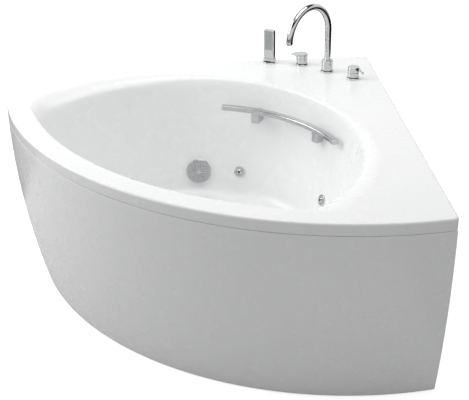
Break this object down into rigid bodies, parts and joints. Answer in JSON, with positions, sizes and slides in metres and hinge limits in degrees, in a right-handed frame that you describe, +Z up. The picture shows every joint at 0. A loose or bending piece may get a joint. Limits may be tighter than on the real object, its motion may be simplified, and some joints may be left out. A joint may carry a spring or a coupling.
{
  "type": "corner bathtub",
  "caption": "Corner bathtub with water jets, curved front panel, grab bar, swan-neck filler, mixer, diverter, hand shower, pump and levelling frame.",
  "frame": {"origin": "middle of the square that the tub fills in the room corner, on the floor", "axes": "+Z up; the two walls are at +X and +Y; the middle of the curved front faces -X-Y"},
  "size_m": [1.4999, 1.4999, 1.0205],
  "materials": {
    "acrylic": "polished sanitary acrylic",
    "panel_acrylic": "polished sanitary acrylic",
    "chrome": "polished",
    "rubber": "moulded",
    "spray_rubber": "moulded silicone",
    "steel": "zinc plated",
    "stand_paint": "powder coated",
    "motor_alloy": "die cast",
    "black_plastic": "fine grained",
    "white_plastic": "moulded",
    "grey_pipe": "extruded",
    "board": "chipboard under glass fibre",
    "brass": "machined"
  },
  "bodies": {
    "root": {"base_board": "board", "button_bezel": "chrome", "deck_nuts": "brass", "deck_roses": "chrome", "foot_pads": "black_plastic", "frame_tubes": "steel", "grab_bar": "chrome", "grab_bolts_and_nuts": "steel", "grab_posts": "chrome", "handle_bases": "chrome", "jet_bodies": "white_plastic", "leg_studs_and_nuts": "steel", "motor_cowl": "black_plastic", "overflow_body": "white_plastic", "overflow_cover": "chrome", "overflow_pipe": "grey_pipe", "panel_magnet_holders": "black_plastic", "panel_stays": "steel", "pressure_line": "grey_pipe", "pump_feet": "rubber", "pump_motor": "motor_alloy", "pump_stand": "stand_paint", "pump_volute": "black_plastic", "rubber_rings": "rubber", "shower_holder": "chrome", "spout_base": "chrome", "suction_body": "white_plastic", "suction_grille": "chrome", "suction_line": "grey_pipe", "suction_screw": "chrome", "tap_shanks": "brass", "terminal_box": "black_plastic", "trap_nut": "white_plastic", "tub_shell": "acrylic", "tube_end_caps": "black_plastic", "valve_blocks": "brass", "wall_nuts": "white_plastic", "waste_body": "white_plastic", "waste_flange": "chrome", "waste_trap": "white_plastic"},
    "front_panel": {"front_panel": "panel_acrylic", "panel_strike_plates": "steel"},
    "spout": {"spout": "chrome", "spout_aerator": "black_plastic"},
    "mixer_turret": {"mixer_turret": "chrome"},
    "mixer_lever": {"mixer_lever": "chrome"},
    "diverter_knob": {"diverter_knob": "chrome"},
    "hand_shower": {"hand_shower": "chrome", "spray_face": "spray_rubber"},
    "overflow_knob": {"overflow_knob": "chrome"},
    "waste_plug": {"waste_plug": "chrome"},
    "air_button": {"air_button": "chrome"},
    "jet_ring_1": {"jet_ring_1": "chrome"},
    "jet_nozzle_1": {"jet_nozzle_1": "chrome"},
    "jet_ring_2": {"jet_ring_2": "chrome"},
    "jet_nozzle_2": {"jet_nozzle_2": "chrome"},
    "jet_ring_3": {"jet_ring_3": "chrome"},
    "jet_nozzle_3": {"jet_nozzle_3": "chrome"},
    "jet_ring_4": {"jet_ring_4": "chrome"},
    "jet_nozzle_4": {"jet_nozzle_4": "chrome"}
  },
  "joints": [
    {"name": "panel_pull", "type": "slide", "parent": "root", "child": "front_panel", "axis": [-0.7071, -0.7071, 0], "range_m": [0, 0.25]},
    {"name": "spout_swivel", "type": "hinge", "parent": "root", "child": "spout", "pos_m": [0.55024, 0.57994, 0.75], "axis": [0, 0, 1], "range_deg": [-90, 90]},
    {"name": "mixer_turn", "type": "hinge", "parent": "root", "child": "mixer_turret", "pos_m": [0.45797, 0.67222, 0.744], "axis": [0, 0, 1], "range_deg": [-45, 45]},
    {"name": "mixer_lift", "type": "hinge", "parent": "mixer_turret", "child": "mixer_lever", "pos_m": [0.47896, 0.67222, 0.7575], "axis": [0, 1, 0], "range_deg": [0, 20]},
    {"name": "diverter_turn", "type": "hinge", "parent": "root", "child": "diverter_knob", "pos_m": [0.64252, 0.48766, 0.748], "axis": [0, 0, 1], "range_deg": [-45, 45]},
    {"name": "hand_shower_lift", "type": "slide", "parent": "root", "child": "hand_shower", "axis": [0, 0, 1], "range_m": [0, 0.3]},
    {"name": "overflow_turn", "type": "hinge", "parent": "root", "child": "overflow_knob", "pos_m": [-0.25748, -0.32656, 0.65017], "axis": [0.6675, 0.7241, 0.1736], "range_deg": [0, 90]},
    {"name": "plug_lift", "type": "slide", "parent": "root", "child": "waste_plug", "axis": [0, 0, 1], "range_m": [0, 0.01]},
    {"name": "button_press", "type": "slide", "parent": "root", "child": "air_button", "axis": [-0.7544, -0.633, -0.1736], "range_m": [0, 0.003], "stiffness_N_per_m": 800, "springref_m": -0.002},
    {"name": "jet_1_turn", "type": "hinge", "parent": "root", "child": "jet_ring_1", "pos_m": [0.17209, 0.41852, 0.34425], "axis": [-0.4249, -0.8712, 0.2457], "range_deg": [-90, 90]},
    {"name": "jet_1_tilt", "type": "hinge", "parent": "jet_ring_1", "child": "jet_nozzle_1", "pos_m": [0.17209, 0.41852, 0.34425], "axis": [0.8988, -0.4384, 0], "range_deg": [-12, 12]},
    {"name": "jet_2_turn", "type": "hinge", "parent": "root", "child": "jet_ring_2", "pos_m": [0.462, 0.07593, 0.37226], "axis": [-0.9354, -0.2489, 0.2512], "range_deg": [-90, 90]},
    {"name": "jet_2_tilt", "type": "hinge", "parent": "jet_ring_2", "child": "jet_nozzle_2", "pos_m": [0.462, 0.07593, 0.37226], "axis": [0.2571, -0.9664, 0], "range_deg": [-12, 12]},
    {"name": "jet_3_turn", "type": "hinge", "parent": "root", "child": "jet_ring_3", "pos_m": [-0.44532, -0.00305, 0.34512], "axis": [0.8597, 0.4804, 0.1736], "range_deg": [-90, 90]},
    {"name": "jet_3_tilt", "type": "hinge", "parent": "jet_ring_3", "child": "jet_nozzle_3", "pos_m": [-0.44532, -0.00305, 0.34512], "axis": [-0.4878, 0.873, 0], "range_deg": [-12, 12]},
    {"name": "jet_4_turn", "type": "hinge", "parent": "root", "child": "jet_ring_4", "pos_m": [-0.00305, -0.44532, 0.34512], "axis": [0.4804, 0.8597, 0.1736], "range_deg": [-90, 90]},
    {"name": "jet_4_tilt", "type": "hinge", "parent": "jet_ring_4", "child": "jet_nozzle_4", "pos_m": [-0.00305, -0.44532, 0.34512], "axis": [-0.873, 0.4878, 0], "range_deg": [-12, 12]}
  ],
  "couplings": [
    {"joint": "plug_lift", "follows": "overflow_turn", "m_per_rad": 0.0063662}
  ]
}
